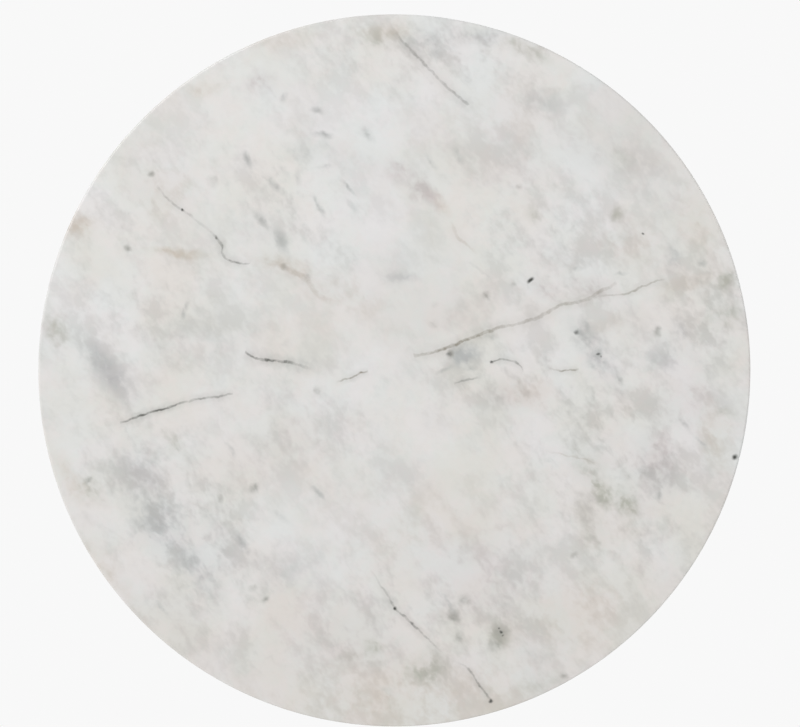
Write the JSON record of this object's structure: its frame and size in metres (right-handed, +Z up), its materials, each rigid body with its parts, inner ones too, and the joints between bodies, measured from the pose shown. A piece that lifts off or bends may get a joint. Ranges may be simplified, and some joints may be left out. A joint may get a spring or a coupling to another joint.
{
  "type": "round pedestal table",
  "caption": "Round marble table top on a metal pedestal: a straight column on a domed disc base with levelling glides.",
  "frame": {"origin": "on the floor, under the middle of the table top", "axes": "+Z up; +X and +Y level, along two arms of the spider; the glides stand at 45 degrees between them"},
  "size_m": [0.914, 0.914, 0.762],
  "materials": {
    "marble": "satin",
    "birch_plywood": "satin",
    "black_steel": "satin",
    "cast_iron": "matte",
    "aged_brass": "satin",
    "zinc_steel": "satin",
    "nylon": "matte"
  },
  "bodies": {
    "table": {"marble_top": "marble", "backer_board": "birch_plywood", "top_spider": "cast_iron", "column_tube": "black_steel", "column_socket": "cast_iron", "upper_collar": "aged_brass", "lower_collar": "aged_brass", "upper_collar_screw": "zinc_steel", "lower_collar_screw": "zinc_steel", "base_cover": "black_steel", "base_plate": "cast_iron", "tie_rod": "zinc_steel", "upper_rod_washer": "zinc_steel", "upper_rod_nut": "zinc_steel", "lower_rod_washer": "zinc_steel", "lower_rod_nut": "zinc_steel", "backer_insert_1": "zinc_steel", "top_washer_1": "zinc_steel", "top_bolt_1": "zinc_steel", "backer_insert_2": "zinc_steel", "top_washer_2": "zinc_steel", "top_bolt_2": "zinc_steel", "backer_insert_3": "zinc_steel", "top_washer_3": "zinc_steel", "top_bolt_3": "zinc_steel", "backer_insert_4": "zinc_steel", "top_washer_4": "zinc_steel", "top_bolt_4": "zinc_steel", "backer_insert_5": "zinc_steel", "top_washer_5": "zinc_steel", "top_bolt_5": "zinc_steel", "backer_insert_6": "zinc_steel", "top_washer_6": "zinc_steel", "top_bolt_6": "zinc_steel", "backer_insert_7": "zinc_steel", "top_washer_7": "zinc_steel", "top_bolt_7": "zinc_steel", "backer_insert_8": "zinc_steel", "top_washer_8": "zinc_steel", "top_bolt_8": "zinc_steel", "socket_screw_1": "zinc_steel", "socket_screw_2": "zinc_steel", "socket_screw_3": "zinc_steel", "socket_screw_4": "zinc_steel", "glide_bush_1": "zinc_steel", "glide_bush_2": "zinc_steel", "glide_bush_3": "zinc_steel", "glide_bush_4": "zinc_steel"},
    "pad_1": {"glide_pad_1": "nylon"},
    "stud_1": {"glide_stud_1": "zinc_steel"},
    "pad_2": {"glide_pad_2": "nylon"},
    "stud_2": {"glide_stud_2": "zinc_steel"},
    "pad_3": {"glide_pad_3": "nylon"},
    "stud_3": {"glide_stud_3": "zinc_steel"},
    "pad_4": {"glide_pad_4": "nylon"},
    "stud_4": {"glide_stud_4": "zinc_steel"}
  },
  "joints": [
    {"name": "glide_travel_1", "type": "slide", "parent": "table", "child": "pad_1", "axis": [0, 0, -1], "range_m": [0, 0.01]},
    {"name": "glide_turn_1", "type": "hinge", "parent": "pad_1", "child": "stud_1", "pos_m": [0.16617, 0.16617, 0.008], "axis": [0, 0, -1], "range_deg": [0, 2400]},
    {"name": "glide_travel_2", "type": "slide", "parent": "table", "child": "pad_2", "axis": [0, 0, -1], "range_m": [0, 0.01]},
    {"name": "glide_turn_2", "type": "hinge", "parent": "pad_2", "child": "stud_2", "pos_m": [-0.16617, 0.16617, 0.008], "axis": [0, 0, -1], "range_deg": [0, 2400]},
    {"name": "glide_travel_3", "type": "slide", "parent": "table", "child": "pad_3", "axis": [0, 0, -1], "range_m": [0, 0.01]},
    {"name": "glide_turn_3", "type": "hinge", "parent": "pad_3", "child": "stud_3", "pos_m": [-0.16617, -0.16617, 0.008], "axis": [0, 0, -1], "range_deg": [0, 2400]},
    {"name": "glide_travel_4", "type": "slide", "parent": "table", "child": "pad_4", "axis": [0, 0, -1], "range_m": [0, 0.01]},
    {"name": "glide_turn_4", "type": "hinge", "parent": "pad_4", "child": "stud_4", "pos_m": [0.16617, -0.16617, 0.008], "axis": [0, 0, -1], "range_deg": [0, 2400]}
  ],
  "couplings": [
    {"joint": "glide_turn_1", "follows": "glide_travel_1", "rad_per_m": 4188.8},
    {"joint": "glide_turn_2", "follows": "glide_travel_2", "rad_per_m": 4188.8},
    {"joint": "glide_turn_3", "follows": "glide_travel_3", "rad_per_m": 4188.8},
    {"joint": "glide_turn_4", "follows": "glide_travel_4", "rad_per_m": 4188.8}
  ]
}
